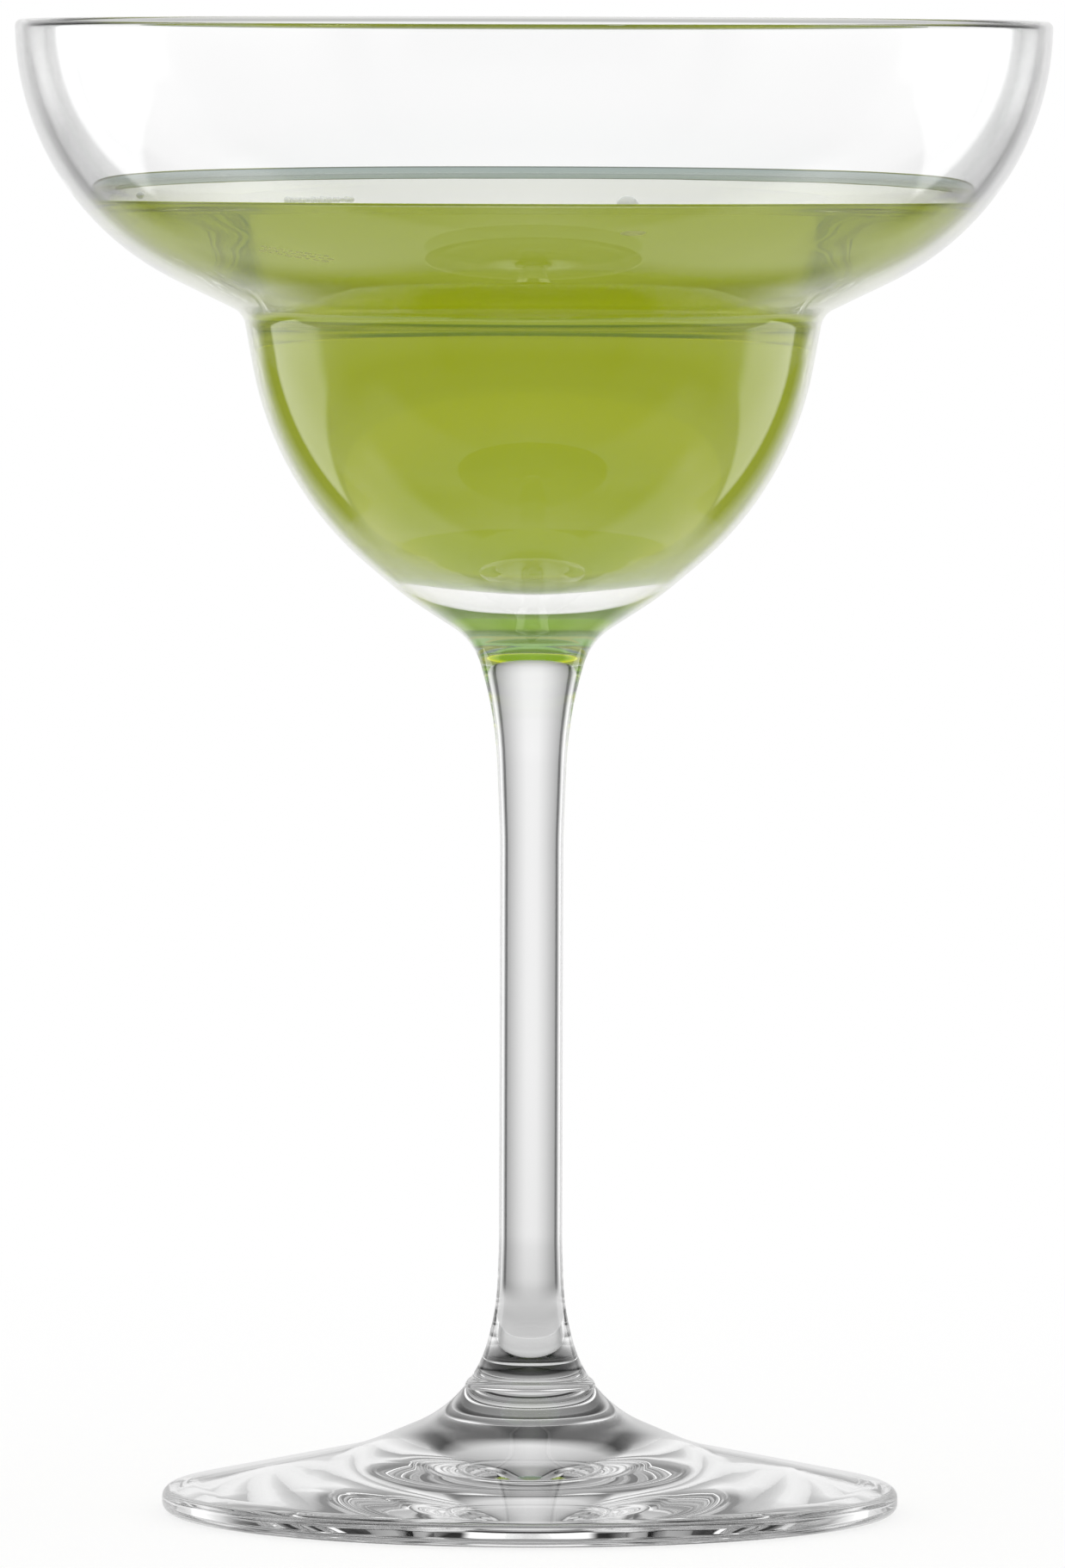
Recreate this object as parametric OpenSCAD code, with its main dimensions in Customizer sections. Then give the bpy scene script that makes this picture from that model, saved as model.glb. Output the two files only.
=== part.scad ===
// Margarita glass with its drink. Three clear pieces are fused end to end: the blown bowl,
// the drawn stem and the pressed foot. One outline runs from the rim to the table, and the
// pieces are its slices. Lengths are in millimetres and angles in degrees. +Z is up, and
// the origin is the middle of the circle that the foot stands on.

/* [Overall] */
// Height from the table to the rim
glass_h = 170; // [150:1:200]
// Rounding step along every arc of an outline
arc_step = 6; // [4:1:10]

/* [Saucer] */
// Outer diameter of the rim
rim_d = 118; // [104:1:130]
// Depth of the saucer, from the rim to the shoulder
saucer_h = 33.3; // [29:0.1:38]
// How far the saucer's side leans outwards up to the rim
rim_flare = 0.5; // [0.1:0.1:2]
// Radius of the round between the saucer's side and its floor
saucer_round = 32.5; // [24:0.5:36]
// How far the saucer's floor line climbs from the shoulder to its side
saucer_floor_rise = 12.3; // [9:0.1:15]

/* [Cup] */
// Outer diameter at the shoulder, where the saucer folds into the cup
shoulder_d = 66; // [58:0.5:72]
// Outer radius of the fold at the shoulder
shoulder_round = 2.5; // [1:0.1:4]
// Depth of the cup, from the shoulder to the seam on the stem
cup_h = 38.7; // [35:0.1:44]
// Radius of the upper round of the cup
hip_round = 38.5; // [30:0.5:44]
// Radius of the lower round of the cup
belly_round = 32; // [24:0.5:38]

/* [Wall] */
// Wall at the rim and down the saucer's side
side_wall = 1.6; // [1.2:0.1:2.4]
// Wall of the saucer's floor
floor_wall = 2.1; // [1.6:0.1:3]
// Wall of the cup's side
cup_wall = 2.4; // [1.8:0.1:3.2]
// Wall of the lower cup, where the glass gathers
belly_wall = 6.3; // [5.5:0.1:7]
// Solid glass from the seam up to the inside bottom
base_thickness = 11; // [9.5:0.1:12.5]

/* [Stem] */
// Diameter of the stem at its slimmest
stem_d = 7.2; // [6:0.1:9]
// Diameter where the bowl's neck would meet the stem without rounding
neck_d = 13.2; // [11:0.1:15]
// Radius of the round under the bowl
neck_round = 7.5; // [6:0.1:10]
// Length of the stem's upper flare, down from the seam
upper_flare_h = 21; // [15:0.5:28]
// Length of the stem's lower flare, up from the seam
lower_flare_h = 15; // [10:0.5:20]

/* [Foot] */
// Outer diameter of the foot
foot_d = 84; // [74:1:92]
// Height of the foot, up to the seam on the stem
foot_h = 15.9; // [14:0.1:19]
// Diameter of the boss that the foot's cone rises to
boss_d = 13.8; // [12:0.1:16]
// Thickness of the foot at its edge
foot_edge = 2.6; // [2:0.1:3.5]
// Radius of the round at the foot's edge
edge_round = 1.15; // [0.5:0.05:1.3]
// Width of the flat ring that the glass stands on
ring_w = 3.6; // [2:0.1:6]
// Rise of the hollow under the foot
hollow_h = 1.9; // [1:0.1:2.6]
// Radius of the bead of glass at the seam on the stem
bead_r = 0.7; // [0.4:0.05:1]
// How far the bead stands out of the boss
bead_proud = 0.2; // [0.1:0.05:0.4]

/* [Drink] */
// Depth of the drink's level below the rim
level_drop = 20.4; // [15:0.1:24]
// Radius of the curve that the drink climbs the wall on
meniscus_r = 3.6; // [2:0.1:4]
// Angle between the drink's surface and the wall where they meet
contact_angle = 3; // [2:1:20]
// Clearance between the drink and the wall
drink_gap = 0.06; // [0.02:0.01:0.2]

/* [Bubbles] */
// Distance between the bubbles of the raft
bubble_pitch = 0.95; // [0.7:0.05:1.2]
// Bubbles along the raft
raft_columns = 8; // [3:1:10]
// Rows of bubbles in the raft
raft_rows = 3; // [1:1:4]
// Distance of the raft's middle in from where the drink starts to climb the wall
raft_inset = 16; // [8:0.5:24]
// Angle of the raft's middle about the stem's axis
raft_angle = 221; // [0:1:359]
// Radius of the large single bubble
large_bubble_r = 1.4; // [0.8:0.1:2]
// Distance of the large bubble in from where the drink starts to climb
large_bubble_inset = 10.4; // [3:0.1:20]
// Angle of the large bubble about the stem's axis
large_bubble_angle = 286; // [0:1:359]
// Radius of the small single bubble
small_bubble_r = 0.5; // [0.3:0.05:0.8]
// Distance of the small bubble in from where the drink starts to climb
small_bubble_inset = 3.1; // [1:0.1:10]
// Angle of the small bubble about the stem's axis
small_bubble_angle = 188; // [0:1:359]

/* [Hidden] */
// Circles and spheres are true curves, and this only sets how finely they are drawn
$fn = 96;

rim_r = rim_d / 2;
shoulder_r = shoulder_d / 2;
stem_r = stem_d / 2;
foot_r = foot_d / 2;
shoulder_z = glass_h - saucer_h;
bowl_seam_z = shoulder_z - cup_h;
level_z = glass_h - level_drop;
inside_bottom_z = bowl_seam_z + base_thickness;

// The lip is rounded over almost the whole wall
lip_share = 0.48;
lip_round = side_wall * lip_share;

// Corners of the cup, as shares of the shoulder's radius and of the cup's depth
hip_shares = [0.891, 0.491];
belly_shares = [0.433, 0.163];
// The neck's corner, as a share of the cup's depth above the seam
neck_share = 0.036;
// Corners of the stem's flares, as shares of their lengths and of how far they spread
upper_taper_shares = [0.36, 0.18];
lower_taper_shares = [0.46, 0.08];
// Radii of the rounds in the flares, as shares of the flare's length
upper_taper_round_share = 2.1;
stem_round_share = 3;
lower_taper_round_share = 2;
// Corners of the foot's cone, as shares of the foot's radius and height
boss_share = 0.8;
knee_shares = [0.464, 0.46];
// Radii of the rounds on the cone, as shares of the foot's height
boss_round_share = 0.9;
knee_round_share = 1.65;
// Round of the inside bottom, as a share of the shoulder's radius
inside_round_share = 0.9;
// The hollow is one shallow dome: its corner's place inside the ring, and its rounds, as a
// share of the foot's radius
hollow_share = 0.5;
hollow_round_share = 4.2;
ring_round_share = 0.3;

// How far the bead's middle lies under the seam, as a share of its radius
bead_drop_share = 1.5;

// How far down the wall its lean is taken, as a share of the climbing curve's radius
lean_share = 0.05;

// A bubble's radius against its pitch, least and most, and how deep its ball sits
bubble_r_shares = [0.3, 0.46];
bubble_sunk_share = 0.15;
// Turn between the sizes of one bubble and the next, so that no two neighbours match
size_turn = 97;
// Each second row of the raft is moved by half a pitch, and rows nest closer than columns
row_shift_share = 0.5;
row_pitch_share = 0.98;

// How far a cutting shape runs past what it cuts
overrun = 1;
// Below this a length counts as nothing
nothing = 0.000001;

glass_colour = [0.86, 0.92, 0.92, 0.4];
drink_colour = [0.6, 0.65, 0.2, 0.9];
bubble_colour = [0.94, 0.97, 0.9, 0.5];

// A corner of an outline is [radius, height, rounding]. These give the length and the
// direction of the leg from one corner to the next
function flat(p) = [p[0], p[1]];
function leg(a, b) = norm(flat(b) - flat(a));
function heading(a, b) = (flat(b) - flat(a)) / max(leg(a, b), nothing);

// Half the angle inside corner b, and how far its rounding wants to reach along its legs
function half_angle(a, b, c) = acos(max(-1, min(1, heading(b, a) * heading(b, c)))) / 2;
function wanted_reach(a, b, c) = b[2] / tan(half_angle(a, b, c));
function wanted(corners, i) =
    i == 0 || i == len(corners) - 1
        ? 0
        : wanted_reach(corners[i - 1], corners[i], corners[i + 1]);

// Two roundings share the leg between them: this is how much of its wish corner i gets
function granted(corners, i) = min(
    1,
    leg(corners[i - 1], corners[i])
        / max(wanted(corners, i - 1) + wanted(corners, i), nothing),
    leg(corners[i], corners[i + 1])
        / max(wanted(corners, i) + wanted(corners, i + 1), nothing)
);

// The arc that rounds corner b
function arc(a, b, c, radius) =
    let (
        half = half_angle(a, b, c),
        reach = radius / tan(half),
        start = flat(b) + heading(b, a) * reach,
        bisector = heading(b, a) + heading(b, c),
        centre = flat(b) + bisector / norm(bisector) * radius / sin(half),
        from = atan2(start[1] - centre[1], start[0] - centre[0]),
        side = sign(cross(heading(a, b), heading(b, c))),
        turn = 180 - 2 * half,
        steps = max(1, ceil(turn / arc_step))
    )
    [for (i = [0 : steps]) centre + radius
        * [cos(from + side * turn * i / steps), sin(from + side * turn * i / steps)]];

// The whole outline through a list of corners, from the first to the last
function rounded(corners) = [
    flat(corners[0]),
    for (i = [1 : len(corners) - 2])
        each corners[i][2] > nothing
            ? arc(corners[i - 1], corners[i], corners[i + 1],
                corners[i][2] * granted(corners, i))
            : [flat(corners[i])],
    flat(corners[len(corners) - 1])
];

// Where two lines cross, each given by a point and a heading
function meet(p, along_p, q, along_q) =
    p + along_p * cross(q - p, along_q) / cross(along_p, along_q);

// A leg from a to b moved into the glass by the wall, for a path that runs down the outside
function inwards(a, b) = let (h = heading(a, b)) [h[1], -h[0]];
function inner_corner(a, b, c, wall_before, wall_after, rounding) =
    let (p = meet(
        flat(b) + inwards(a, b) * wall_before, heading(a, b),
        flat(b) + inwards(b, c) * wall_after, heading(b, c)
    ))
    [p[0], p[1], rounding];

// The outside of the bowl, down to the corner under the cup
rim = [rim_r, glass_h, lip_round];
side = [rim_r - rim_flare, shoulder_z + saucer_floor_rise, saucer_round];
shoulder = [shoulder_r, shoulder_z, shoulder_round];
hip = [
    shoulder_r * hip_shares[0],
    bowl_seam_z + cup_h * hip_shares[1],
    hip_round
];
belly = [
    shoulder_r * belly_shares[0],
    bowl_seam_z + cup_h * belly_shares[1],
    belly_round
];

// The neck, the stem and its two flares
neck = [neck_d / 2, bowl_seam_z + cup_h * neck_share, neck_round];
upper_taper = [
    stem_r + (neck_d / 2 - stem_r) * upper_taper_shares[1],
    bowl_seam_z - upper_flare_h * upper_taper_shares[0],
    upper_flare_h * upper_taper_round_share
];
stem_top = [stem_r, bowl_seam_z - upper_flare_h, upper_flare_h * stem_round_share];
stem_bottom = [stem_r, foot_h + lower_flare_h, lower_flare_h * stem_round_share];
lower_taper = [
    stem_r + (boss_d / 2 - stem_r) * lower_taper_shares[1],
    foot_h + lower_flare_h * lower_taper_shares[0],
    lower_flare_h * lower_taper_round_share
];

// The foot's cone, its edge, the ring it stands on and the hollow inside the ring
boss = [boss_d / 2, foot_h * boss_share, foot_h * boss_round_share];
knee = [foot_r * knee_shares[0], foot_h * knee_shares[1], foot_h * knee_round_share];
edge_top = [foot_r, foot_edge, edge_round];
edge_bottom = [foot_r, 0, edge_round];
ring_inside_r = foot_r - edge_round - ring_w;
ring_inside = [ring_inside_r, 0, foot_r * ring_round_share];
hollow = [ring_inside_r * hollow_share, hollow_h, foot_r * hollow_round_share];
hollow_middle = [0, hollow_h, 0];

// The middle of the lip is where the outside and the inside start
lip_middle = [rim_r - side_wall / 2, glass_h, 0];

outside = rounded([
    lip_middle, rim, side, shoulder, hip, belly, neck, upper_taper, stem_top,
    stem_bottom, lower_taper, boss, knee, edge_top, edge_bottom, ring_inside,
    hollow, hollow_middle
]);

// The inside of the bowl. With a gap it is the skin of what fills the bowl
function inside(gap) =
    let (
        inner_rim = meet(
            flat(rim) + inwards(rim, side) * (side_wall + gap), heading(rim, side),
            flat(rim), [-1, 0]
        ),
        bottom = meet(
            flat(belly) + inwards(hip, belly) * (belly_wall + gap), heading(hip, belly),
            [0, inside_bottom_z + gap], [-1, 0]
        )
    )
    rounded([
        lip_middle,
        [inner_rim[0], inner_rim[1], lip_round],
        inner_corner(rim, side, shoulder, side_wall + gap, floor_wall + gap,
            saucer_round - floor_wall - gap),
        inner_corner(side, shoulder, hip, floor_wall + gap, cup_wall + gap,
            shoulder_round + floor_wall + gap),
        inner_corner(shoulder, hip, belly, cup_wall + gap, belly_wall + gap,
            hip_round - cup_wall - gap),
        [bottom[0], bottom[1], shoulder_r * inside_round_share],
        [0, inside_bottom_z + gap, 0]
    ]);

// The radius at a height, read along an outline
function radius_at(points, z) = lookup(z, [for (p = points) [p[1], p[0]]]);

// The drink meets the wall at the contact angle. The wall gets steeper upwards, so the
// curve that starts at the level and turns less than the wall leans there stays inside it
drink_skin = [for (p = inside(drink_gap)) if (p[0] < lip_middle[0]) p];
lean_h = meniscus_r * lean_share;
wall_lean = atan2(
    lean_h,
    radius_at(drink_skin, level_z) - radius_at(drink_skin, level_z - lean_h)
);
climb_sweep = wall_lean - contact_angle;
contact_z = level_z + meniscus_r * (1 - cos(climb_sweep));
climb_r = radius_at(drink_skin, contact_z) - meniscus_r * sin(climb_sweep);

// Half of the upright section through the whole glass, and the slice of it between two heights
module section() {
    wall = inside(0);
    polygon(concat(outside, [for (i = [len(wall) - 1 : -1 : 1]) wall[i]]));
}

module slice(low, high) {
    intersection() {
        section();
        translate([0, low])
            square([max(rim_r, foot_r) + overrun, high - low]);
    }
}

// The blown bowl: saucer, shoulder, cup and the solid base down to the seam
module bowl() {
    color(glass_colour)
        rotate_extrude()
            slice(bowl_seam_z, glass_h + overrun);
}

// The drawn stem, flared at both seams
module stem() {
    color(glass_colour)
        rotate_extrude()
            slice(foot_h, bowl_seam_z);
}

// The pressed foot, with the bead of glass that the stem was set in
module foot() {
    bead_z = foot_h - bead_r * bead_drop_share;
    wall_r = radius_at([for (p = outside) if (p[1] < bowl_seam_z) p], bead_z);
    color(glass_colour)
        union() {
            rotate_extrude()
                slice(-overrun, foot_h);
            rotate_extrude()
                translate([wall_r + bead_proud - bead_r, bead_z])
                    circle(r = bead_r);
        }
}

// The drink fills the bowl up to its level and climbs the wall in a curve
module drink() {
    steps = ceil(climb_sweep / arc_step);
    surface = [for (i = [0 : steps]) let (a = climb_sweep * i / steps) [
        climb_r + meniscus_r * sin(a),
        level_z + meniscus_r * (1 - cos(a))
    ]];
    below = [for (p = drink_skin) if (p[1] < contact_z - nothing) p];
    color(drink_colour)
        rotate_extrude()
            polygon(concat([[0, level_z]], surface, below));
}

// Where something floats, by its distance in from the climbing edge and its angle
function afloat(inset, angle) = (climb_r - inset) * [cos(angle), sin(angle)];

// A bubble is a ball that stands out of the drink's surface
module bubble(place, radius) {
    translate([place[0], place[1], level_z])
        intersection() {
            translate([0, 0, -radius * bubble_sunk_share])
                sphere(r = radius);
            translate([-radius - overrun, -radius - overrun, 0])
                cube([2 * (radius + overrun), 2 * (radius + overrun), radius + overrun]);
        }
}

// A raft of small bubbles and two single ones
module bubbles() {
    spread = bubble_r_shares[1] - bubble_r_shares[0];
    raft_middle = afloat(raft_inset, raft_angle);
    color(bubble_colour)
        union() {
            for (row = [0 : raft_rows - 1], column = [0 : raft_columns - 1]) {
                size = bubble_r_shares[0]
                    + spread * (1 + sin(size_turn * (row * raft_columns + column))) / 2;
                bubble([
                    raft_middle[0] + bubble_pitch * (column - (raft_columns - 1) / 2
                        + row_shift_share * (row % 2)),
                    raft_middle[1] + bubble_pitch * row_pitch_share
                        * (row - (raft_rows - 1) / 2)
                ], bubble_pitch * size);
            }
            bubble(afloat(large_bubble_inset, large_bubble_angle), large_bubble_r);
            bubble(afloat(small_bubble_inset, small_bubble_angle), small_bubble_r);
        }
}

bowl();
stem();
foot();
drink();
bubbles();
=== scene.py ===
# %% [markdown]
# # A margarita glass and its green drink
# The glass is blown, drawn and pressed in three pieces that are fused into one: a wide bowl
# with a saucer over a cup, a slim stem, and a round foot. It holds a cloudy green drink with
# a few bubbles. Everything on it is turned about one upright axis, so the lesson draws one
# profile, cuts it where the real pieces meet, and turns each part of it on a lathe. What
# makes glass look like glass is mostly what it bends and mirrors, so the second half of the
# lesson is about liquids, seams and the studio round the glass.

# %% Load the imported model
import math

import bmesh
import bpy
from mathutils import Euler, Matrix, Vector, noise


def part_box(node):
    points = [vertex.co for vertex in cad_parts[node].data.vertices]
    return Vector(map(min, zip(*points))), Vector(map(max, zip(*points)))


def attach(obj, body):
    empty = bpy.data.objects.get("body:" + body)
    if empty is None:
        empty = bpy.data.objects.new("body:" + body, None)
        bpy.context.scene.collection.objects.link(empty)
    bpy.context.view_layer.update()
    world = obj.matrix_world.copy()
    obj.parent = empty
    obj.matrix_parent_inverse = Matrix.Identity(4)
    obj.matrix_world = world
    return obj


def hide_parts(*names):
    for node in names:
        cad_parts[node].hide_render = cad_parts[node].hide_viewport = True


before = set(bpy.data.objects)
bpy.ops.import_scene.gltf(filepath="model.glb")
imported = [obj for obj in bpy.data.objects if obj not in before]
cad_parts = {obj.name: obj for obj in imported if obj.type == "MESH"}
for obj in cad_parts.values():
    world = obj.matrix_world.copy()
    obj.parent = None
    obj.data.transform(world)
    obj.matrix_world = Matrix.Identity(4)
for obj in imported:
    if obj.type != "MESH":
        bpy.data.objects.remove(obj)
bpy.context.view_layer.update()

# %% [markdown]
# ## Sizes
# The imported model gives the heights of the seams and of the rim. The corners between them
# are the sizes that the glass was drawn with, in millimetres: each is a radius, a height
# and how large a round softens it there. The walls are the thickness of the glass, from
# the saucer's side down to the heavy base of the cup.

# %% The outline's corners
MM = 0.001
bowl_low, bowl_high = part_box("bowl")
RIM_H = bowl_high.z / MM
UPPER_SEAM = bowl_low.z / MM
LOWER_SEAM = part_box("foot")[1].z / MM

RIM = (59.0, RIM_H, 0.77)
SIDE = (58.5, 149.0, 32.5)
SHOULDER = (33.0, 136.7, 2.5)
HIP = (29.4, 117.0, 38.5)
BELLY = (14.29, 104.31, 32.0)
NECK = (6.6, 99.39, 7.5)
UPPER_TAPER = (4.14, 90.44, 44.1)
STEM_TOP = (3.6, 77.0, 63.0)
STEM_FOOT = (3.6, 30.9, 45.0)
LOWER_TAPER = (3.86, 22.8, 30.0)
BOSS = (6.9, 12.72, 14.3)
KNEE = (19.49, 7.31, 26.2)
EDGE_TOP = (42.0, 2.6, 1.15)
EDGE_FOOT = (42.0, 0.0, 1.15)
RING_INSIDE = (37.25, 0.0, 12.6)
HOLLOW = (18.63, 1.9, 176.4)
HOLLOW_MIDDLE = (0.0, 1.9, 0.0)

SIDE_WALL, FLOOR_WALL, CUP_WALL, BELLY_WALL = 1.6, 2.1, 2.4, 6.3
LIP = (RIM[0] - SIDE_WALL / 2, RIM_H, 0.0)
print("seams at", round(UPPER_SEAM, 2), "and", round(LOWER_SEAM, 2), "mm, rim at", round(RIM_H, 2))

# %% [markdown]
# ## The inside of the bowl
# A blown wall follows the outside at a thickness that grows downwards. So the inside is
# found by moving each run of the outline into the glass by its own wall, and meeting the
# moved runs again. With a wall a little thinner than the real one, the same corners give
# the skin of the drink, which has to reach just into the glass: a liquid wets its glass,
# and a film of air between them would mirror like silver.

# %% Corners of the inside
INSIDE_BOTTOM, BOTTOM_ROUND = 109.0, 29.7


def way(a, b):
    return (Vector(b[:2]) - Vector(a[:2])).normalized()


def cross(a, b):
    return a.x * b.y - a.y * b.x


def meet(p, along_p, q, along_q):
    return p + along_p * (cross(q - p, along_q) / cross(along_p, along_q))


def into_glass(a, b, wall):
    along = way(a, b)
    return Vector(a[:2]) + Vector((along.y, -along.x)) * wall


def inner(a, b, c, wall_before, wall_after, radius):
    before, after = into_glass(a, b, wall_before), into_glass(b, c, wall_after)
    point = meet(before, way(a, b), after, way(b, c))
    return (point.x, point.y, radius)


def inside_corners(wet):
    """Corners of the inside, from the rim down to the axis, moved into the glass by wet."""
    walls = (SIDE_WALL, FLOOR_WALL, CUP_WALL, BELLY_WALL)
    side, floor, cup, belly = (wall - wet for wall in walls)
    inwards = Vector((-1, 0))
    top = meet(into_glass(RIM, SIDE, side), way(RIM, SIDE), Vector(RIM[:2]), inwards)
    bottom_z = INSIDE_BOTTOM - wet
    bottom = meet(into_glass(HIP, BELLY, belly), way(HIP, BELLY), Vector((0, bottom_z)), inwards)
    return [
        (top.x, top.y, RIM[2]),
        inner(RIM, SIDE, SHOULDER, side, floor, SIDE[2] - floor),
        inner(SIDE, SHOULDER, HIP, floor, cup, SHOULDER[2] + floor),
        inner(SHOULDER, HIP, BELLY, cup, belly, HIP[2] - cup),
        (bottom.x, bottom.y, BOTTOM_ROUND),
        (0.0, bottom_z, 0.0),
    ]


print("inside corners", [tuple(round(x, 2) for x in c) for c in inside_corners(0)])

# %% [markdown]
# ## A pen for profiles
# A profile is drawn the way a pen draws it. A straight run extrudes the last vertex to the
# next place, and a round spins it about the round's middle, which gives a true arc.

# %% Move the pen
ARC_STEP = math.radians(2.5)
TINY = MM * MM


def extrude_to(bm, pen, place):
    last = bmesh.ops.extrude_vert_indiv(bm, verts=[pen])["verts"][0]
    there = Vector((place[0] * MM, 0, place[1] * MM))
    bmesh.ops.translate(bm, verts=[last], vec=there - last.co)
    return last


def spin_round(bm, pen, middle, turn, side):
    made = bmesh.ops.spin(
        bm, geom=[pen], cent=(middle.x * MM, 0, middle.y * MM), axis=(0, -side, 0),
        dvec=(0, 0, 0), angle=turn, steps=max(2, math.ceil(turn / ARC_STEP)),
        use_merge=False, use_duplicate=False)
    return [v for v in made["geom_last"] if isinstance(v, bmesh.types.BMVert)][0]


print("rounds are drawn in steps of", round(math.degrees(ARC_STEP), 1), "degrees at most")

# %% [markdown]
# ## Rounded corners
# A round starts and ends where it reaches along its two runs. Where two rounds want more of
# the run between them than there is, both give way by the same share, so that the curve
# stays smooth.

# %% Draw a profile
SHORTEST = 0.001  # mm, so that a share is never divided by nothing


def reach(a, b, c):
    """How far a corner's round reaches along its runs, and half the angle inside it."""
    u, v = way(b, a), way(b, c)
    half = math.acos(max(-1.0, min(1.0, u.dot(v)))) / 2
    return b[2] / math.tan(half), half


def draw(corners):
    """A mesh of one open line through the corners, each rounded by its radius."""
    bm = bmesh.new()
    pen = bm.verts.new((corners[0][0] * MM, 0, corners[0][1] * MM))
    triples = list(zip(corners, corners[1:], corners[2:]))
    wishes = [0.0] + [reach(*t)[0] for t in triples] + [0.0]
    runs = [(Vector(b[:2]) - Vector(a[:2])).length for a, b in zip(corners, corners[1:])]
    for i, (a, b, c) in enumerate(triples):
        share = min(1.0, runs[i] / max(wishes[i] + wishes[i + 1], SHORTEST),
                    runs[i + 1] / max(wishes[i + 1] + wishes[i + 2], SHORTEST))
        half = reach(a, b, c)[1]
        if b[2] == 0:
            pen = extrude_to(bm, pen, b)
            continue
        start = Vector(b[:2]) + way(b, a) * wishes[i + 1] * share
        halfway = (way(b, a) + way(b, c)).normalized()
        middle = Vector(b[:2]) + halfway * b[2] * share / math.sin(half)
        side = 1 if cross(way(a, b), way(b, c)) > 0 else -1
        pen = extrude_to(bm, pen, start)
        pen = spin_round(bm, pen, middle, math.pi - 2 * half, side)
    extrude_to(bm, pen, corners[-1])
    bmesh.ops.remove_doubles(bm, verts=bm.verts, dist=TINY)
    return bm


print("the shoulder's round reaches", round(reach(SIDE, SHOULDER, HIP)[0], 2), "mm along its runs")

# %% [markdown]
# ## The whole outline
# The outside of the glass is one line, from the lip to the hollow under the foot. It is
# drawn once in whole, to measure it. Each piece then draws its own stretch of it.

# %% Draw the outline
outline = [LIP, RIM, SIDE, SHOULDER, HIP, BELLY, NECK, UPPER_TAPER, STEM_TOP, STEM_FOOT,
           LOWER_TAPER, BOSS, KNEE, EDGE_TOP, EDGE_FOOT, RING_INSIDE, HOLLOW, HOLLOW_MIDDLE]


def between(first, last):
    """The outline's corners from one to another."""
    return outline[outline.index(first):outline.index(last) + 1]


trial = draw(outline)
trial_length = sum(e.calc_length() for e in trial.edges) / MM
print("outline", len(trial.verts), "points,", round(trial_length, 1), "mm long")
trial.free()

# %% [markdown]
# ## Cutting a line
# A piece starts as a stretch of the outline, cut at its seams. A cut end would leave the
# piece open, so the line runs on from there, straight to the axis. Once it is turned, that
# is the flat disc where the real pieces are fused.

# %% Cut and close a line
NEAR = 0.01


def cut(bm, height, keep_above):
    bmesh.ops.bisect_plane(
        bm, geom=bm.verts[:] + bm.edges[:], dist=TINY, plane_co=(0, 0, height * MM),
        plane_no=(0, 0, 1), clear_inner=keep_above, clear_outer=not keep_above)


def close_to_axis(bm, height):
    """Extrude the line's cut end at this height to the axis."""
    ends = [v for v in bm.verts if len(v.link_edges) == 1 and abs(v.co.z / MM - height) < NEAR]
    for end in ends:
        if end.co.x > TINY:
            extrude_to(bm, end, (0, height))


print("an end within", NEAR, "mm of a seam is closed")

# %% [markdown]
# ## The lathe
# A full spin turns the line into a surface. The points that lie on the axis come out once
# for each step, so doubles are merged to close the poles, and only then do the normals get
# turned outwards. The flat disc of a seam takes a second material, because light doesn't
# see a fused seam.

# %% Turn a profile
RINGS = 256
MERGE = MM * 0.003


def turn(bm, name, seams=()):
    """Turn a line into a closed piece. Faces on a seam get the second material."""
    bmesh.ops.spin(bm, geom=bm.verts[:] + bm.edges[:], cent=(0, 0, 0), axis=(0, 0, 1),
                   dvec=(0, 0, 0), angle=math.tau, steps=RINGS, use_merge=True,
                   use_duplicate=False)
    bmesh.ops.remove_doubles(bm, verts=bm.verts, dist=MERGE)
    bmesh.ops.recalc_face_normals(bm, faces=bm.faces)
    for face in bm.faces:
        face.smooth = True
        flat = max(v.co.z for v in face.verts) - min(v.co.z for v in face.verts) < TINY
        height = face.calc_center_median().z / MM
        if flat and any(abs(height - seam) < NEAR for seam in seams):
            face.material_index = 1
    for edge in bm.edges:
        edge.smooth = len({f.material_index for f in edge.link_faces}) == 1
    return piece(bm, name)


def piece(bm, name):
    open_edges = sum(not e.is_manifold for e in bm.edges)
    mesh = bpy.data.meshes.new(name)
    bm.to_mesh(mesh)
    volume = bm.calc_volume(signed=True) / MM ** 3
    bm.free()
    made = bpy.data.objects.new(name, mesh)
    bpy.context.scene.collection.objects.link(made)
    print(name, len(mesh.polygons), "faces,", open_edges, "open edges,", round(volume), "cubic mm")
    return made


print("a lathe of", RINGS, "steps")

# %% [markdown]
# ## The bowl
# The bowl is blown: its wall is thin at the rim and gathers towards the bottom, where it
# ends in solid glass above the stem. One line runs from the axis up the inside, over the
# lip and down the outside, and is cut at the seam. The real rim is melted smooth, which is
# the small round on both sides of the lip.

# %% Turn the bowl
bowl_line = draw(list(reversed(inside_corners(0))) + between(LIP, UPPER_TAPER))
cut(bowl_line, UPPER_SEAM, keep_above=True)
close_to_axis(bowl_line, UPPER_SEAM)
bowl = turn(bowl_line, "blown_bowl", seams=[UPPER_SEAM])

# %% [markdown]
# ## The stem
# The stem is a solid rod, drawn out while it was hot, so it narrows from the bowl and
# widens again to the foot. It is the middle of the same outline, drawn a little past both
# seams, so that its rounds are whole, and then cut there.

# %% Turn the stem
stem_line = draw(between(BELLY, EDGE_TOP))
cut(stem_line, UPPER_SEAM, keep_above=False)
cut(stem_line, LOWER_SEAM, keep_above=True)
close_to_axis(stem_line, UPPER_SEAM)
close_to_axis(stem_line, LOWER_SEAM)
stem = turn(stem_line, "drawn_stem", seams=[UPPER_SEAM, LOWER_SEAM])

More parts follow.
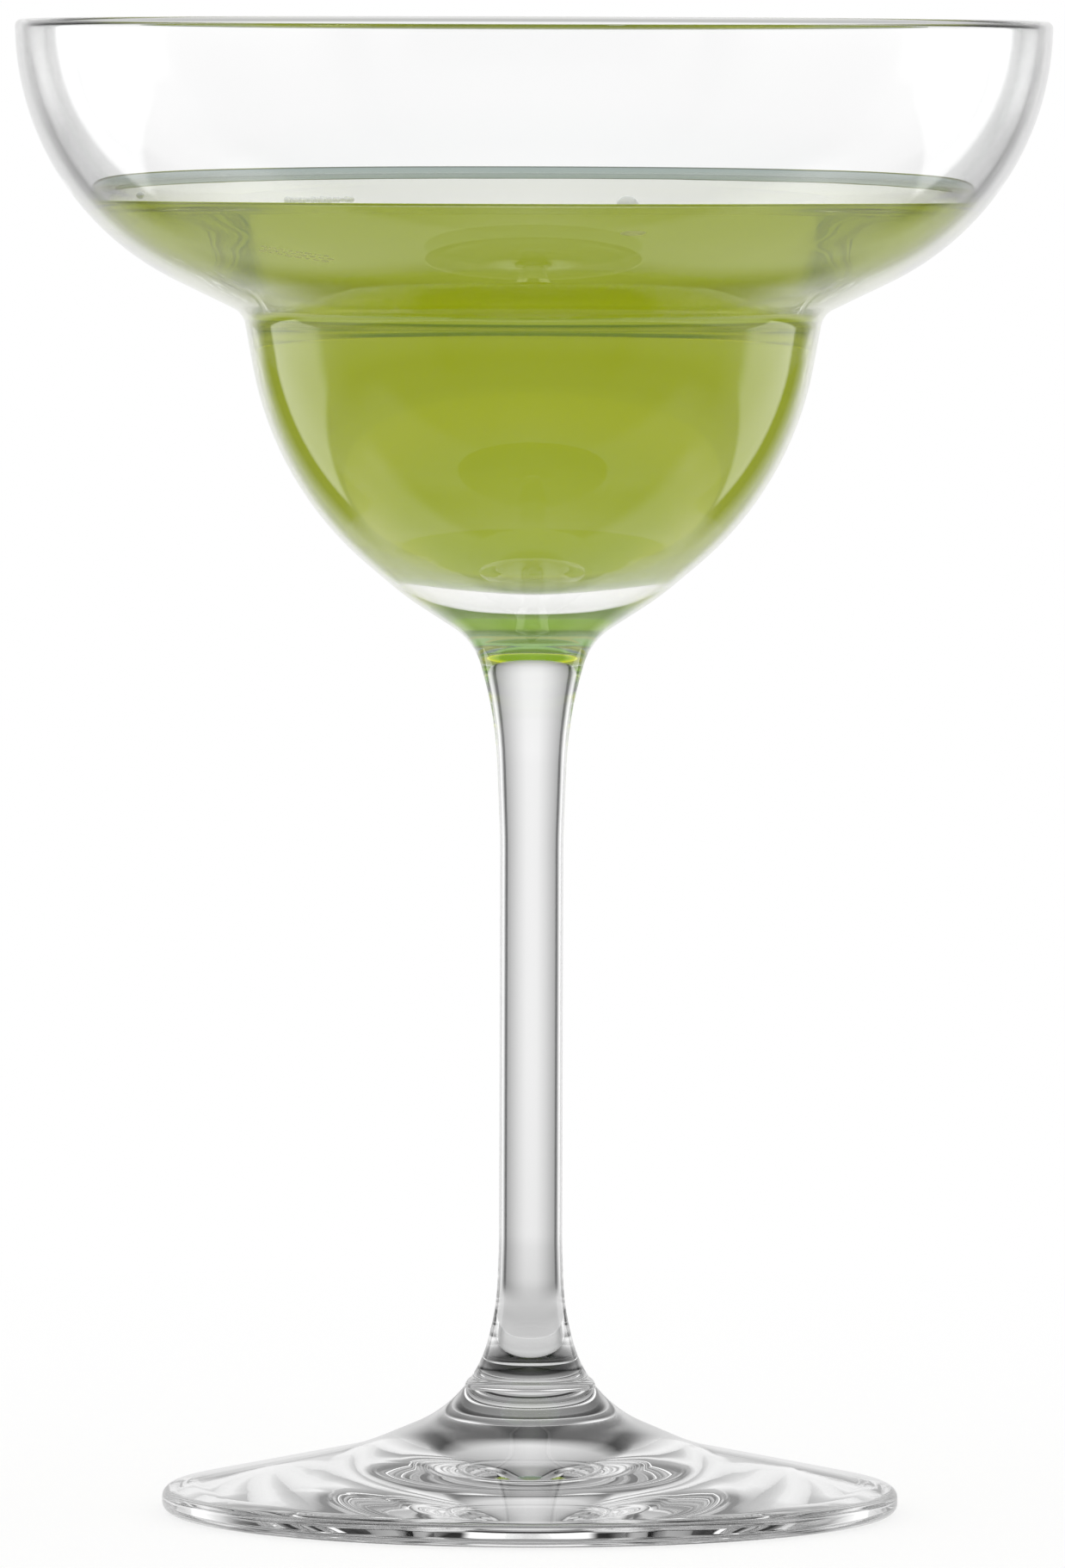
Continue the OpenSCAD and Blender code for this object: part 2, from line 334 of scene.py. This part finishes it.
# %% [markdown]
# ## The foot
# The foot is pressed, and a thin bead of glass shows where the stem was set into it. The
# bead is made on the line: a few planes cut extra points there, and each is moved out by
# the height of a round.

# %% Turn the foot
BEAD_Z, BEAD_R, BEAD_PROUD, BEAD_CUTS = 14.85, 0.7, 0.2, 5
foot_line = draw(between(STEM_TOP, HOLLOW_MIDDLE))
cut(foot_line, LOWER_SEAM, keep_above=False)
bead_half = math.sqrt(BEAD_R ** 2 - (BEAD_R - BEAD_PROUD) ** 2)
for i in range(-BEAD_CUTS, BEAD_CUTS + 1):
    bmesh.ops.bisect_plane(
        foot_line, geom=foot_line.verts[:] + foot_line.edges[:], dist=TINY,
        plane_co=(0, 0, (BEAD_Z + bead_half * i / BEAD_CUTS) * MM), plane_no=(0, 0, 1))
for v in foot_line.verts:
    off = abs(v.co.z / MM - BEAD_Z)
    if off < bead_half:
        v.co.x += (math.sqrt(BEAD_R ** 2 - off ** 2) - (BEAD_R - BEAD_PROUD)) * MM
close_to_axis(foot_line, LOWER_SEAM)
foot = turn(foot_line, "pressed_foot", seams=[LOWER_SEAM])

# %% [markdown]
# ## Waves in the foot
# Pressed glass cools with soft waves in its upper face, less than a tenth of a millimetre
# high, which is why the foot of such a glass shows swirls. Noise that changes slowly with
# the radius and with the way round moves the points of the finished mesh up and down. It
# fades out towards the boss and towards the edge, which the press holds true.

# %% Wave the foot
WAVE = 0.09
WAVE_OVER = 2.5
WAVE_FROM, WAVE_RISE = 9, 8
WAVE_TO, WAVE_FALL = 40.5, 6
PER_MM, PER_TURN, NOISE_ROW = 0.16, 0.9, 3.1
moved = 0
for v in foot.data.vertices:
    radius = math.hypot(v.co.x, v.co.y) / MM
    if v.co.z > WAVE_OVER * MM and radius > WAVE_FROM:
        fade_in = min(1.0, (radius - WAVE_FROM) / WAVE_RISE)
        fade_out = min(1.0, max(0.0, (WAVE_TO - radius) / WAVE_FALL))
        round_way = math.atan2(v.co.y, v.co.x)
        ripple = noise.noise(Vector((radius * PER_MM, round_way * PER_TURN, NOISE_ROW)))
        v.co.z += WAVE * MM * (fade_in * fade_out) * ripple
        moved += 1
print("waves on", moved, "points of the foot")

# %% [markdown]
# ## The drink
# The drink fills the bowl to its level, and climbs the wall in a small curve, as water
# does on clean glass. Its skin is the inside of the bowl moved a little into the glass.

# %% Turn the drink
LEVEL = 149.6
WET = 0.05
CLIMB_R, CLIMB_TURN = 3.6, math.radians(42.8)
inside_line = draw(list(reversed(inside_corners(WET))))
contact = LEVEL + CLIMB_R * (1 - math.cos(CLIMB_TURN))
cut(inside_line, contact, keep_above=False)
pen = max(inside_line.verts, key=lambda v: v.co.z)
climb_r = pen.co.x / MM - CLIMB_R * math.sin(CLIMB_TURN)
pen = spin_round(inside_line, pen, Vector((climb_r, LEVEL + CLIMB_R)), CLIMB_TURN, -1)
extrude_to(inside_line, pen, (0, LEVEL))
drink = turn(inside_line, "green_drink")
print("the drink climbs from radius", round(climb_r, 2), "mm to", round(contact, 2), "mm high")

# %% [markdown]
# ## One bubble
# A bubble afloat is a thin dome of liquid round air. It is made of a fine ball, cut a
# little over its middle and closed, with its flat side on the level of the drink.

# %% Blow one bubble
SUNK, BALL_STEPS = 0.15, 3


def dome(bm, place, radius):
    ball = bmesh.new()
    bmesh.ops.create_icosphere(ball, subdivisions=BALL_STEPS, radius=radius * MM)
    bmesh.ops.bisect_plane(
        ball, geom=ball.verts[:] + ball.edges[:] + ball.faces[:], dist=TINY,
        plane_co=(0, 0, radius * SUNK * MM), plane_no=(0, 0, 1), clear_inner=True)
    rim = [e for e in ball.edges if e.is_boundary]
    bmesh.ops.holes_fill(ball, edges=rim)
    there = (place[0] * MM, place[1] * MM, (LEVEL - radius * SUNK) * MM)
    bmesh.ops.translate(ball, verts=ball.verts, vec=there)
    bmesh.ops.recalc_face_normals(ball, faces=ball.faces)
    for face in ball.faces:
        face.smooth = len(face.verts) == 3
    for edge in ball.edges:
        edge.smooth = all(f.smooth for f in edge.link_faces)
    made = bpy.data.meshes.new("dome")
    ball.to_mesh(made)
    ball.free()
    bm.from_mesh(made)
    bpy.data.meshes.remove(made)


print("a ball is cut", SUNK, "of its radius over its middle")

# %% [markdown]
# ## The bubbles
# Small bubbles of uneven size crowd into a raft, each row set half a bubble off the one
# before it, as round things pack. Two larger ones float alone.

# %% Float the bubbles
RAFT_PITCH, RAFT_SIZE, ROW_SHARE = 0.95, (8, 3), 0.98
SMALLEST, UNEVEN, UNEVEN_TURN = 0.3, 0.16, 97
RAFT_AT, LARGE_AT, SMALL_AT = (16, 221), (10.4, 286), (3.1, 188)
LARGE, SMALL = 1.4, 0.5


def afloat(inset, degrees):
    away = climb_r - inset
    return away * math.cos(math.radians(degrees)), away * math.sin(math.radians(degrees))


foam = bmesh.new()
raft = afloat(*RAFT_AT)
for row in range(RAFT_SIZE[1]):
    for column in range(RAFT_SIZE[0]):
        number = row * RAFT_SIZE[0] + column
        size = SMALLEST + UNEVEN * (1 + math.sin(math.radians(UNEVEN_TURN * number))) / 2
        x = raft[0] + RAFT_PITCH * (column - (RAFT_SIZE[0] - 1) / 2 + 0.5 * (row % 2))
        y = raft[1] + RAFT_PITCH * ROW_SHARE * (row - (RAFT_SIZE[1] - 1) / 2)
        dome(foam, (x, y), RAFT_PITCH * size)
dome(foam, afloat(*LARGE_AT), LARGE)
dome(foam, afloat(*SMALL_AT), SMALL)
bubbles = piece(foam, "bubbles_afloat")

# %% [markdown]
# ## Shader maths
# A material is a small sum over its surface. A field wraps one socket, so that the sum can
# be written as Python writes it, and every operator adds the node that it stands for.

# %% Fields
class Field:
    """A socket that arithmetic works on. Each operator adds a Math node."""

    def __init__(self, tree, socket):
        self.tree, self.socket = tree, socket

    def math(self, operation, *values):
        return add(self.tree, "ShaderNodeMath", {"operation": operation}, dict(enumerate(values)))

    def __add__(self, other):
        return self.math("ADD", self, other)

    def __sub__(self, other):
        return self.math("SUBTRACT", self, other)

    def __rsub__(self, other):
        return self.math("SUBTRACT", other, self)

    def __mul__(self, other):
        return self.math("MULTIPLY", self, other)

    def __truediv__(self, other):
        return self.math("DIVIDE", self, other)

    def __rtruediv__(self, other):
        return self.math("DIVIDE", other, self)

    def __neg__(self):
        return self.math("MULTIPLY", self, -1.0)

    __radd__, __rmul__ = __add__, __mul__


print("each of + - * / on a field adds a Math node")

# %% [markdown]
# ## Adding nodes
# One function adds every node. A node's settings come first, because some of them change
# its sockets, and then each socket gets a value or a link. A soft step is a Map Range node.

# %% Add nodes
def add(tree, kind, settings=None, inputs=None, output=0):
    """Add a node: its settings first, then the values or fields of its sockets."""
    node = tree.nodes.new(kind)
    for name, value in (settings or {}).items():
        setattr(node, name, value)
    for name, value in (inputs or {}).items():
        if isinstance(value, Field):
            tree.links.new(value.socket, node.inputs[name])
        else:
            node.inputs[name].default_value = value
    return Field(tree, node.outputs[output] if len(node.outputs) else None)


def blank(owner):
    owner.use_nodes = True
    owner.node_tree.nodes.clear()
    return owner.node_tree


def step_up(field, low, high):
    """0 below low, 1 above high, and a soft step between them."""
    return add(field.tree, "ShaderNodeMapRange", {"interpolation_type": "SMOOTHSTEP"},
               {"Value": field, "From Min": low, "From Max": high})


print("nodes are added by", add.__name__, "and trees emptied by", blank.__name__)

# %% [markdown]
# ## Clear glass
# Clear glass is a Principled shader that lets all light through and bends it by its index.
# Its roughness is nothing, since the glass is fire polished. What tells blown glass from a
# computed surface is that it is never quite even, so a very faint, slow bump runs over it.
#
# The thin wall of a bowl shows almost no dark line at its outer edge when bright cards
# stand all round it. The painted studio below has no such cards close by, so for the bowl
# a share of the light goes straight on where its surface is seen at a grazing angle.

# %% Make clear glass
GLASS_IOR = 1.5
BLOWN_WAVES, PRESSED_WAVES, WAVE_HEIGHT = 28.0, 60.0, 0.00005
EDGE_FROM, EDGE_TO, EDGE_SHARE = 0.68, 0.86, 0.6
WHITE = (1, 1, 1, 1)


def uneven(tree, scale, height):
    """A normal that a faint noise tilts. scale is noise per metre, and height is in metres."""
    place = add(tree, "ShaderNodeTexCoord", output="Object")
    waves = add(tree, "ShaderNodeTexNoise", {}, {"Vector": place, "Scale": scale, "Detail": 1.0})
    return add(tree, "ShaderNodeBump", {}, {"Strength": 1.0, "Distance": height, "Height": waves})


def clear_glass(name, wave_scale, edge_share=0.0):
    """Clear glass. edge_share is how much light goes straight on at a grazing angle."""
    material = bpy.data.materials.new(name)
    tree = blank(material)
    surface = add(tree, "ShaderNodeBsdfPrincipled", {}, {
        "Base Color": WHITE, "Transmission Weight": 1.0, "IOR": GLASS_IOR,
        "Roughness": 0.0, "Normal": uneven(tree, wave_scale, WAVE_HEIGHT)})
    if edge_share:
        straight = add(tree, "ShaderNodeBsdfTransparent", {}, {"Color": WHITE})
        grazing = add(tree, "ShaderNodeLayerWeight", {}, {"Blend": 0.5}, output="Facing")
        share = step_up(grazing, EDGE_FROM, EDGE_TO) * edge_share
        surface = add(tree, "ShaderNodeMixShader", {}, {0: share, 1: surface, 2: straight})
    add(tree, "ShaderNodeOutputMaterial", {}, {"Surface": surface})
    return material


blown_glass = clear_glass("blown_glass", BLOWN_WAVES, EDGE_SHARE)
drawn_glass = clear_glass("drawn_glass", BLOWN_WAVES)
pressed_glass = clear_glass("pressed_glass", PRESSED_WAVES)
print("glass of index", GLASS_IOR, "in", blown_glass.name, drawn_glass.name, pressed_glass.name)

# %% [markdown]
# ## A fused seam
# A fused seam is a plane inside one body of glass. Light doesn't see it, so the discs there
# are fully transparent. They are kept, because the pieces stay separate, and because the
# studio tells by them whether a ray went from one piece to the next.

# %% Make the seam
fused_seam = bpy.data.materials.new("fused_seam")
seam_tree = blank(fused_seam)
add(seam_tree, "ShaderNodeOutputMaterial", {}, {
    "Surface": add(seam_tree, "ShaderNodeBsdfTransparent", {}, {"Color": WHITE})})
print(fused_seam.name, "lets light straight through")

# %% [markdown]
# ## The green drink
# The colour of a liquid comes from its depth: each millimetre takes out some light, most
# of it blue, so the middle of the cup is deep yellow green and the edges are pale. That is
# an absorbing volume inside a clear skin. The skin keeps a white colour, because a tinted
# one would colour every ray again at each crossing. The pulp that clouds a real drink
# spreads light. The studio below stands in for that, so no light has to scatter here.

# %% Make the drink
DRINK_IOR = 1.34
DRINK_COLOUR, DRINK_DENSITY = (0.960, 0.966, 0.03, 1), 92.0
DRINK_WAVES, DRINK_WAVE_HEIGHT = 70.0, 0.00002
lime = bpy.data.materials.new("lime_liquid")
tree = blank(lime)
skin = add(tree, "ShaderNodeBsdfPrincipled", {}, {
    "Base Color": WHITE, "Transmission Weight": 1.0, "IOR": DRINK_IOR, "Roughness": 0.0,
    "Normal": uneven(tree, DRINK_WAVES, DRINK_WAVE_HEIGHT)})
depth = add(tree, "ShaderNodeVolumeAbsorption", {}, {
    "Color": DRINK_COLOUR, "Density": DRINK_DENSITY})
add(tree, "ShaderNodeOutputMaterial", {}, {"Surface": skin, "Volume": depth})
print("a drink of index", DRINK_IOR, "that absorbs", DRINK_DENSITY, "per metre of what it takes")

# %% [markdown]
# ## The film of a bubble
# A bubble's film shows white, since light is thrown about between the many small domes. So
# only a fifth of the light goes through it, and the rest is white. Fine bumps break up the
# highlights.

# %% Make the film
FILM_IOR, FILM_COLOUR, FILM_CLEAR = 1.33, (0.97, 1.0, 0.95, 1), 0.2
FILM_PITS, FILM_PIT_HEIGHT = 1500.0, 0.0001
film = bpy.data.materials.new("film_of_bubbles")
tree = blank(film)
skin = add(tree, "ShaderNodeBsdfPrincipled", {}, {
    "Base Color": FILM_COLOUR, "Transmission Weight": FILM_CLEAR, "IOR": FILM_IOR,
    "Roughness": 0.0, "Normal": uneven(tree, FILM_PITS, FILM_PIT_HEIGHT)})
add(tree, "ShaderNodeOutputMaterial", {}, {"Surface": skin})
print("a film of index", FILM_IOR)

# %% [markdown]
# ## Dressing the pieces
# Every piece of this glass belongs to one rigid body, so all of them ride on the root.
# Each stands in for one node of the imported model, which it hides, and takes its materials.

# %% Dress the pieces
for made, node, slot, finishes in (
    (bowl, "bowl", "clear_glass", (blown_glass, fused_seam)),
    (stem, "stem", "clear_glass", (drawn_glass, fused_seam)),
    (foot, "foot", "clear_glass", (pressed_glass, fused_seam)),
    (drink, "drink", "lime_drink", (lime,)),
    (bubbles, "bubbles", "bubble_film", (film,)),
):
    for finish in finishes:
        made.data.materials.append(finish)
    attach(made, "root")
    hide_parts(node)
    print(made.name, "replaces", node, "with", [finish.name for finish in finishes])

# %% [markdown]
# ## The studio
# Glass shows the room, so a room has to stand round it. Lamps and cards would do, but they
# show the same to a ray that the glass bent as to one that it mirrored. So this studio is
# painted on the world, by the direction of a ray and by what happened to it on its way.
#
# Directions are angles in degrees: the azimuth runs from 0 at the backdrop to 180 behind
# the camera, and the height is up from level. The folded azimuth is 0 in front as well as
# behind, and 90 at the sides. What shows through the stem and the foot is painted mostly by
# that one, so the glass looks right from the back too. A ramp gives a level of light for
# each angle, in straight runs between its stops.

# %% Directions and ramps
world = bpy.data.worlds.new("studio")
bpy.context.scene.world = world
studio = blank(world)
ray = add(studio, "ShaderNodeTexCoord", output="Generated")
split = add(studio, "ShaderNodeSeparateXYZ", {}, {"Vector": ray}).socket.node
x, y, z = (Field(studio, out) for out in split.outputs)
across = x.math("ABSOLUTE", x)
azimuth = x.math("ARCTAN2", across, y) * math.degrees(1)
height = x.math("ARCSINE", z) * math.degrees(1)
folded = x.math("MINIMUM", azimuth, 180 - azimuth)
path = add(studio, "ShaderNodeLightPath").socket.node
ONE_OR_MORE = (0.4, 0.6)


def of_path(name):
    return Field(studio, path.outputs[name])


def whether(name):
    """1 if the ray's count of this kind is one or more, else 0."""
    return step_up(of_path(name), *ONE_OR_MORE)


def ramp(field, stops):
    """Straight runs between stops of an angle in degrees and a level."""
    low, high = stops[0][0], stops[-1][0]
    along = (field - low) / (high - low)
    node = add(studio, "ShaderNodeValToRGB", {}, {"Fac": along}).socket.node
    for angle, level in stops[1:-1]:
        node.color_ramp.elements.new((angle - low) / (high - low))
    for element, (angle, level) in zip(node.color_ramp.elements, stops):
        element.position, element.color = (angle - low) / (high - low), (level, level, level, 1)
    return Field(studio, node.outputs["Color"])


print("the studio has", len(studio.nodes), "nodes so far")

# %% [markdown]
# ## The table and its sides
# The table is what rays meet that go steeply down. It is bright straight below, and falls
# off towards level. Left and right of the backdrop, white cards light it, and it is bright
# all over.

# %% Light the table
TABLE_STOPS = [(-90, 1.2), (-84, 1.05), (-76, 0.65), (-66, 0.42), (-56, 0.3), (-46, 0.14),
               (-30, 0.1)]
CARDS_FROM, CARDS_TO, CARDS_LEVEL = (16, 32), (84, 100), 1.15
cards = step_up(azimuth, *CARDS_FROM) * (1 - step_up(azimuth, *CARDS_TO))
table = ramp(height, TABLE_STOPS) * (1 - cards) + cards * CARDS_LEVEL
print("the table has", len(TABLE_STOPS), "stops, and cards of level", CARDS_LEVEL)

# %% [markdown]
# ## What one body of glass shows
# A ray that crossed one solid body of glass, the stem or the foot, has passed two surfaces.
# It sees the studio sharply: a bright backdrop that gets dimmer to each side, then a narrow
# dark gap, and past it white cards. This draws the grey shading and the two dark lines in
# the stem. The backdrop also gets dimmer upwards and downwards.
#
# A ray that was mirrored inside the glass on its way sees a dark band about level, where
# the first kind sees the backdrop at its brightest. It draws the dark rings in the cone of
# the foot. Rays that go down through the glass see a plain bright table, so that the glass
# is clear from above. Steep ones that were mirrored inside see the lit table as well. Rays
# that crossed a seam are left out of both, because they draw the stem's dark ends.

# %% Light seen through the stem and the foot
PANEL_STOPS = [(0, 0.95), (7, 0.93), (16, 0.79), (24, 0.65), (33, 0.51), (37, 0.40), (39, 0.04),
               (43, 0.04), (48, 0.6), (54, 1.0), (90, 1.0)]
RISE_STOPS = [(-90, 0.05), (-52, 0.05), (-44, 0.20), (-30, 0.28), (-20, 0.42), (-10, 0.66),
              (-4, 1.0), (14, 1.0), (31, 0.55), (60, 0.5), (90, 0.5)]
INSIDE_STOPS = [(-90, 0.05), (-52, 0.05), (-44, 0.26), (-30, 0.30), (-20, 0.30), (-14, 0.06),
                (-6, 0.03), (6, 0.03), (11, 0.45), (16, 0.85), (31, 0.70), (60, 0.5), (90, 0.5)]
PLAIN_STOPS = [(-90, 0.85), (-44, 0.85), (-30, 0.7), (-18, 0.55), (0, 0.75), (90, 0.75)]
INSIDE_WIDTH = (24, 34)
PLAIN_BELOW, GLOW_BELOW = (9, 15), (40, 50)

inside = whether("Glossy Depth")
unseamed = 1 - whether("Transparent Depth")
turned = inside * (1 - step_up(folded, *INSIDE_WIDTH))
rise = ramp(height, RISE_STOPS) * (1 - turned) + ramp(height, INSIDE_STOPS) * turned
plain = step_up(-height, *PLAIN_BELOW) * (1 - inside) * unseamed
glow = step_up(-height, *GLOW_BELOW) * inside * unseamed * table
sharp = (ramp(folded, PANEL_STOPS) * rise * (1 - plain)
         + plain * ramp(height, PLAIN_STOPS) + glow)
print("the backdrop has", len(PANEL_STOPS), "stops across and", len(RISE_STOPS), "upwards")

# %% [markdown]
# ## What the saucer and the drink show
# A ray through both walls of the empty saucer has passed four surfaces, and one through
# the drink more. A cloudy drink mixes the light of all directions near a ray's own. So
# these rays see the same room without its dark gap, and through the drink it is dimmer,
# as pulp throws part of the light back.

# %% Light seen through the saucer and the drink
CALM_STOPS = [(0, 1.0), (20, 0.98), (40, 0.92), (90, 0.92)]
LID_STOPS = [(-90, 0.7), (-60, 0.6), (-38, 0.5), (-22, 1.0), (36, 1.0), (58, 0.5), (90, 0.5)]
PAST_TWO, PAST_FOUR = (2.3, 2.7), (4.3, 4.7)
CALM_LEVEL, CLOUD_LOSS = 1.06, 0.59

surfaces = of_path("Transmission Depth")
one_body = 1 - step_up(surfaces, *PAST_TWO)
cloudy = step_up(surfaces, *PAST_FOUR)
calm = (ramp(folded, CALM_STOPS) * ramp(height, LID_STOPS)
        * (CALM_LEVEL - cloudy * CLOUD_LOSS))
through = sharp * one_body + calm * (1 - one_body)
print("a ray through the drink keeps", round(CALM_LEVEL - CLOUD_LOSS, 2), "of the light")

# %% [markdown]
# ## What the glass mirrors
# The outside of the glass mirrors the room. A tall window stands at each side, with a
# slanted sill and a soft top, and gives the long highlights on the cup. Behind the camera
# the room is dark, the ceiling is dim, and below is the table. This part isn't folded,
# because a real room is dark on the camera's side only.

# %% Light mirrored by the glass
ROOM_STOPS = [(0, 0.85), (30, 0.95), (36, 0.5), (40, 0.18), (46, 0.18), (50, 0.7), (80, 0.7),
              (96, 0.2), (180, 0.05)]
WINDOW_LEVEL, CEILING_LEVEL = 1.5, 0.12
WINDOW_BACK, WINDOW_FRONT, WINDOW_TOP = (0.08, 0.24), (46, 49), (0.2, 0.4)
SILL_SLANT, SILL_DROP, SILL_EDGE = 0.75, 0.25, (-0.02, 0.05)
TABLE_BELOW, CEILING_OVER = (30, 42), (24, 44)
LEAST_ACROSS = 0.001

sideways = x.math("MAXIMUM", across, LEAST_ACROSS)
wall_y, wall_z = y / sideways, z / sideways
window = (step_up(wall_y, *WINDOW_BACK) * step_up(azimuth, *WINDOW_FRONT)
          * step_up(wall_z + wall_y * SILL_SLANT + SILL_DROP, *SILL_EDGE)
          * (1 - step_up(wall_z, *WINDOW_TOP)))
below = step_up(-height, *TABLE_BELOW)
ceiling = step_up(height, *CEILING_OVER)
room = ramp(azimuth, ROOM_STOPS) + window * WINDOW_LEVEL
mirrored = room * (1 - below) * (1 - ceiling) + table * below + ceiling * CEILING_LEVEL
print("windows of level", WINDOW_LEVEL)

# %% [markdown]
# ## Which ray sees what
# Rays that the glass bent see the first two kinds of light, rays that it mirrored see the
# third, and all others see plain white: those of the camera, which make the backdrop, and
# the soft light on the floor. The drink's depth alone colours it a little too yellow, so
# rays through it take a third of a green tint here. Rays that leave steeply upwards after
# more than one body of glass take all of it.

# %% Paint the world
TINT, TINT_UP, CLOUD_TINT = (0.56, 0.92, 0.80, 1), (35, 60), 0.35
direct = 1 - whether("Diffuse Depth")
bent = of_path("Is Transmission Ray") * direct
bounced = of_path("Is Reflection Ray") * of_path("Is Glossy Ray") * direct
soft = x.math("MAXIMUM", 1 - bent - bounced, 0.0)
strength = soft + bent * through + bounced * mirrored
steep = step_up(height, *TINT_UP)
green = bent * (1 - one_body) * x.math("MAXIMUM", steep, cloudy * CLOUD_TINT)
tint = add(studio, "ShaderNodeMix", {"data_type": "RGBA"}, {
    "Factor": green, "A": WHITE, "B": TINT}, output="Result")
add(studio, "ShaderNodeOutputWorld", {}, {
    "Surface": add(studio, "ShaderNodeBackground", {}, {"Color": tint, "Strength": strength})})
print("the studio has", len(studio.nodes), "nodes in all")

# %% [markdown]
# ## Long light paths
# A flat foot traps light. Seen at a low angle, a ray that gets into it is mirrored by both
# faces, again and again, and comes out at the far edge. The usual dozen bounces end before
# that, and leave the foot black. So a ray may bounce a few dozen times here.

# %% Let rays bounce on
BOUNCES = 40
paths = bpy.context.scene.cycles
paths.max_bounces = paths.transmission_bounces = paths.glossy_bounces = BOUNCES
print("bounces", paths.max_bounces)

# %% [markdown]
# ## The floor
# The floor is a pale disc, just under the foot. To the camera it is mostly plain white,
# like the backdrop, and the rest of it is a real surface that keeps the soft shadow of the
# glass. The glass itself doesn't show it: the painted table stands in for it there.

# %% Lay the floor
FLOOR_R, FLOOR_SIDES, FLOOR_DROP, FLOOR_WHITE = 0.32, 128, 0.0002, 0.75
floor_bm = bmesh.new()
bmesh.ops.create_circle(floor_bm, cap_ends=True, radius=FLOOR_R, segments=FLOOR_SIDES)
bmesh.ops.translate(floor_bm, verts=floor_bm.verts, vec=(0, 0, -FLOOR_DROP))
floor_mesh = bpy.data.meshes.new("floor")
floor_bm.to_mesh(floor_mesh)
floor_bm.free()
floor = bpy.data.objects.new("floor", floor_mesh)
bpy.context.scene.collection.objects.link(floor)
floor_paint = bpy.data.materials.new("pale_floor")
tree = blank(floor_paint)
matte = add(tree, "ShaderNodeBsdfDiffuse", {}, {"Color": WHITE})
white = add(tree, "ShaderNodeEmission", {}, {"Color": WHITE, "Strength": 1.0})
camera_ray = add(tree, "ShaderNodeLightPath", output="Is Camera Ray")
add(tree, "ShaderNodeOutputMaterial", {}, {
    "Surface": add(tree, "ShaderNodeMixShader", {}, {
        0: camera_ray * FLOOR_WHITE, 1: matte, 2: white})})
floor.data.materials.append(floor_paint)
floor.visible_glossy = False
floor.visible_transmission = False
print("a floor", FLOOR_R * 2, "m across")

# %% [markdown]
# ## The camera
# The photograph was taken from about ten heights away, slightly above the rim, so the
# glass looks almost flat, and the rim and the foot are thin ellipses. The camera is turned
# about its own axis by a sixth of a degree, as the photograph is.

# %% Set the camera
CAMERA_AT, AIM_AT = (0.00007, -1.80, 0.1835), (0.00007, 0, 0.0831)
FOCAL_LENGTH, SENSOR_WIDTH, ROLL = 363.4, 36, math.radians(0.165)
NEAREST, FARTHEST = 0.1, 50
camera_data = bpy.data.cameras.new("camera")
camera_data.lens = FOCAL_LENGTH
camera_data.sensor_width = SENSOR_WIDTH
camera_data.clip_start, camera_data.clip_end = NEAREST, FARTHEST
camera = bpy.data.objects.new("camera", camera_data)
bpy.context.scene.collection.objects.link(camera)
camera.location = CAMERA_AT
facing = (Vector(AIM_AT) - camera.location).to_track_quat("-Z", "Y")
camera.rotation_euler = (facing @ Euler((0, 0, ROLL)).to_quaternion()).to_euler()
bpy.context.scene.camera = camera
bpy.context.scene.view_settings.view_transform = "Standard"
print("camera at", CAMERA_AT, "with a lens of", FOCAL_LENGTH, "mm")
